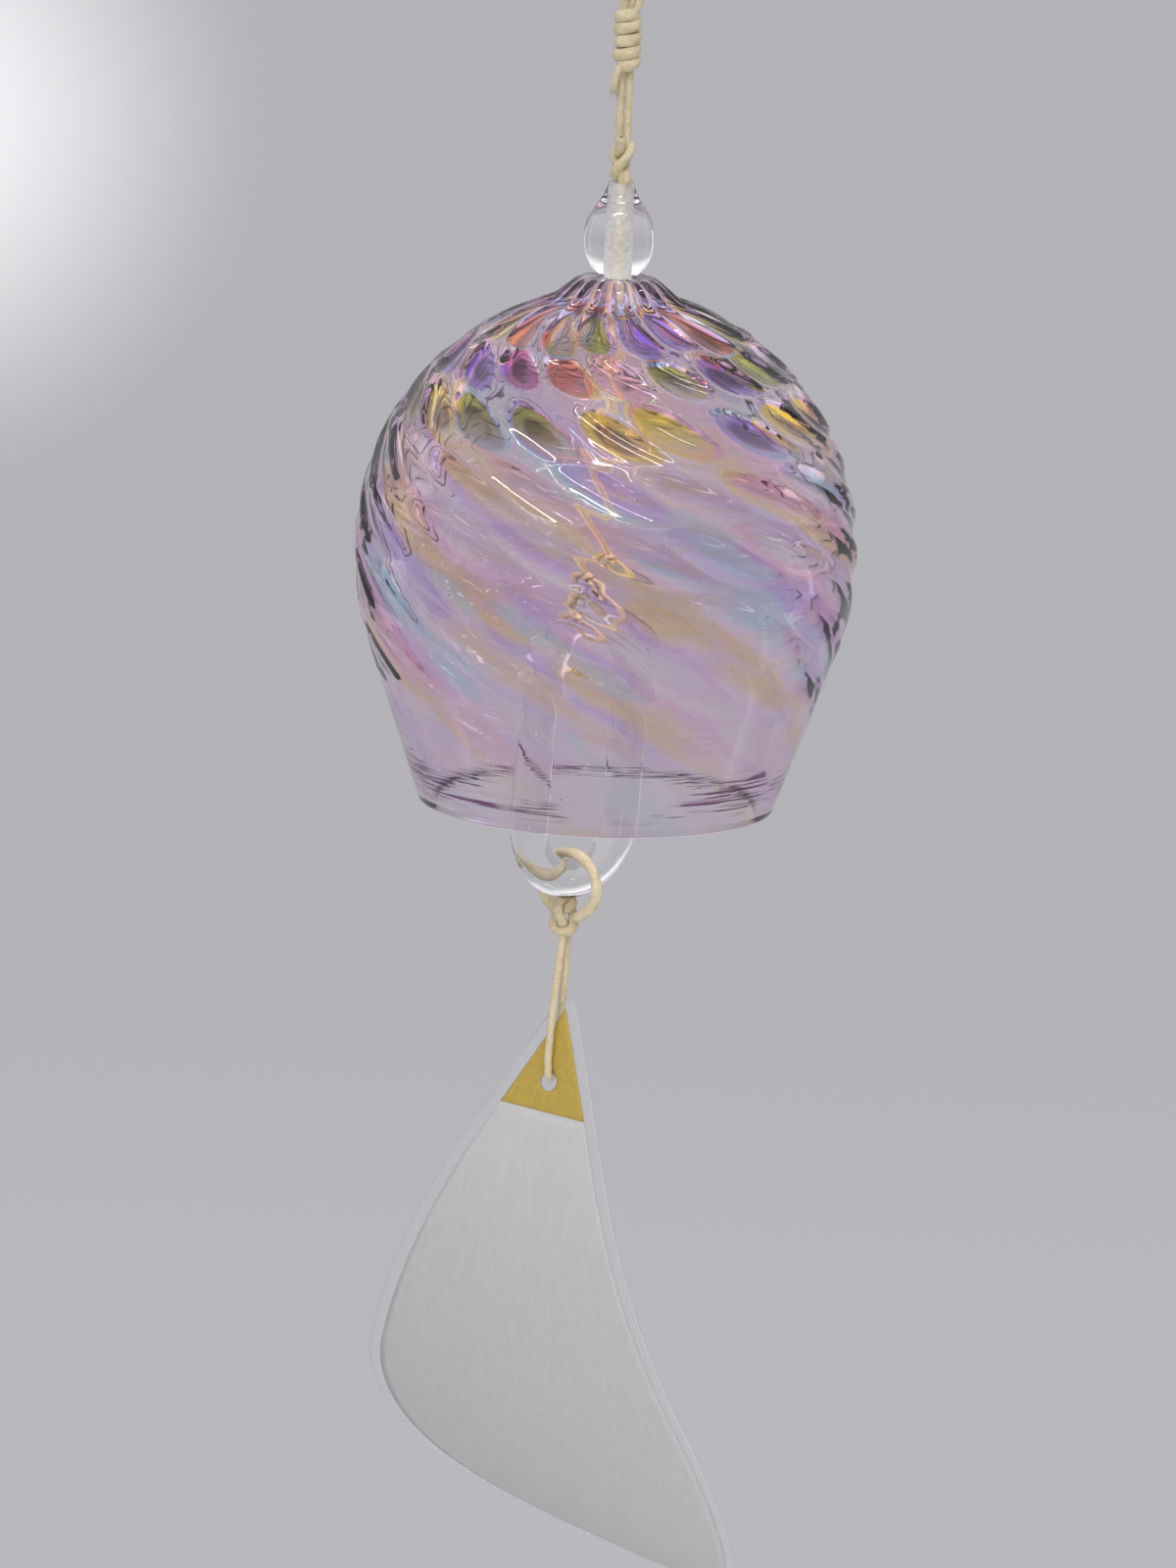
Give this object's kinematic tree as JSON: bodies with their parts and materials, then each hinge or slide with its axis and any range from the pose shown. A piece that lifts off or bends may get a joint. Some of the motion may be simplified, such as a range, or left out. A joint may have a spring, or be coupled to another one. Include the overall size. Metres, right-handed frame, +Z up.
{
  "type": "glass wind bell",
  "caption": "Hanging glass wind bell with swirled pastel colours, a glass bead on top, a clear glass link as clapper and a curled drop-shaped paper wind catcher on waxed cord.",
  "frame": {"origin": "inside top of the cord eye, where the hook bears", "axes": "+Z up along the hanging cord and the bell's axis, -Y towards the pictured side, +X to its right"},
  "size_m": [0.0804, 0.0804, 0.2928],
  "materials": {
    "cord": "waxed twisted cotton",
    "clear_glass": "clear polished",
    "coloured_glass": "swirled pastel bands, fire polished",
    "paper": "matt white",
    "gold_paper": "textured gold",
    "film": "clear laminate"
  },
  "bodies": {
    "hanger": {"hanging_eye": "cord", "barrel_core": "cord", "barrel_wraps": "cord"},
    "upper_cord": {"upper_strand_left": "cord", "upper_strand_right": "cord", "upper_knot": "cord"},
    "bead_cord": {"bead": "clear_glass", "bore_strand_front": "cord", "bore_strand_back": "cord", "stop_knot": "cord"},
    "bell": {"bell": "coloured_glass"},
    "clapper_cord": {"inner_strand_left": "cord", "inner_strand_right": "cord", "clapper_knot": "cord", "clapper_loop": "cord"},
    "clapper": {"clapper_link": "clear_glass"},
    "tail_knot": {"tail_loop": "cord", "tail_knot": "cord"},
    "tail_cord": {"tail_strand": "cord"},
    "wind_catcher": {"paper_drop": "paper", "gold_tip": "gold_paper", "film_back": "film", "film_front": "film"}
  },
  "joints": [
    {"name": "cord_swing", "type": "hinge", "parent": "hanger", "child": "upper_cord", "pos_m": [0, 0, -0.03985], "axis": [1, 0, 0], "range_deg": [-20, 20]},
    {"name": "bell_swing", "type": "hinge", "parent": "upper_cord", "child": "bead_cord", "pos_m": [0, 0, -0.05735], "axis": [0, 1, 0], "range_deg": [-15, 15]},
    {"name": "bell_turn", "type": "hinge", "parent": "bead_cord", "child": "bell", "pos_m": [0, 0, -0.073], "axis": [0, 0, 1], "continuous": true},
    {"name": "clapper_swing", "type": "hinge", "parent": "bead_cord", "child": "clapper_cord", "pos_m": [0, 0, -0.08336], "axis": [-0.7071, 0.7071, 0], "range_deg": [-8.1, 4.9]},
    {"name": "link_swing", "type": "hinge", "parent": "clapper_cord", "child": "clapper", "pos_m": [-0.00184, 0, -0.12916], "axis": [0.7065, 0.7071, -0.0284], "range_deg": [-16, 10]},
    {"name": "tail_swing", "type": "hinge", "parent": "clapper", "child": "tail_knot", "pos_m": [-0.00355, 0, -0.17173], "axis": [0.7065, 0.7071, -0.0284], "range_deg": [-40, 40]},
    {"name": "tail_turn", "type": "hinge", "parent": "tail_knot", "child": "tail_cord", "pos_m": [-0.00389, 0, -0.18027], "axis": [0, 0, 1], "continuous": true},
    {"name": "sheet_tilt", "type": "hinge", "parent": "tail_cord", "child": "wind_catcher", "pos_m": [-0.00544, -0.00608, -0.20344], "axis": [0.542, 0.8032, -0.247], "range_deg": [-25, 25]}
  ]
}
